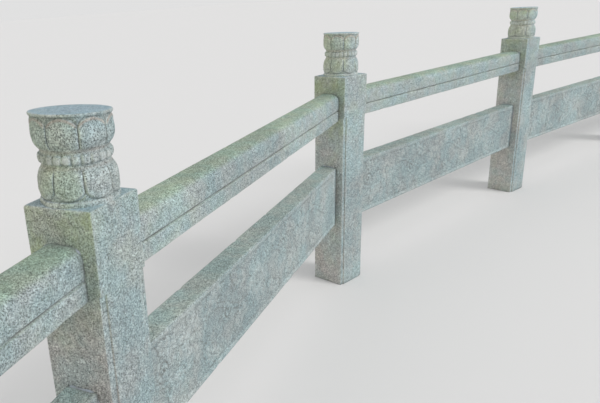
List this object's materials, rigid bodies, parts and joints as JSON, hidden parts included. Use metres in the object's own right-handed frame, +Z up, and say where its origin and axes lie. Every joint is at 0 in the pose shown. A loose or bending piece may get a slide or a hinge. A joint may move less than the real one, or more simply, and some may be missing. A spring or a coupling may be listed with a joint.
{
  "type": "stone railing",
  "caption": "Carved granite garden railing with lotus-headed square posts, rounded handrails and low slab panels, following a gentle curve in plan.",
  "frame": {"origin": "middle of the foot of the middle post, at ground level", "axes": "+Z up, +X along the bay to the right of the middle post, +Y to the planted side, away from the path"},
  "size_m": [10.4904, 2.5229, 1.12],
  "materials": {
    "post_stone": "bush-hammered, weathered",
    "rail_stone": "fine-dressed, weathered",
    "panel_stone": "bush-hammered, weathered"
  },
  "bodies": {
    "root": {"post_1": "post_stone", "post_2": "post_stone", "post_3": "post_stone", "post_4": "post_stone", "post_5": "post_stone", "post_6": "post_stone", "post_7": "post_stone", "handrail_1": "rail_stone", "handrail_2": "rail_stone", "handrail_3": "rail_stone", "handrail_4": "rail_stone", "handrail_5": "rail_stone", "handrail_6": "rail_stone", "panel_1": "panel_stone", "panel_2": "panel_stone", "panel_3": "panel_stone", "panel_4": "panel_stone", "panel_5": "panel_stone", "panel_6": "panel_stone"}
  },
  "joints": []
}
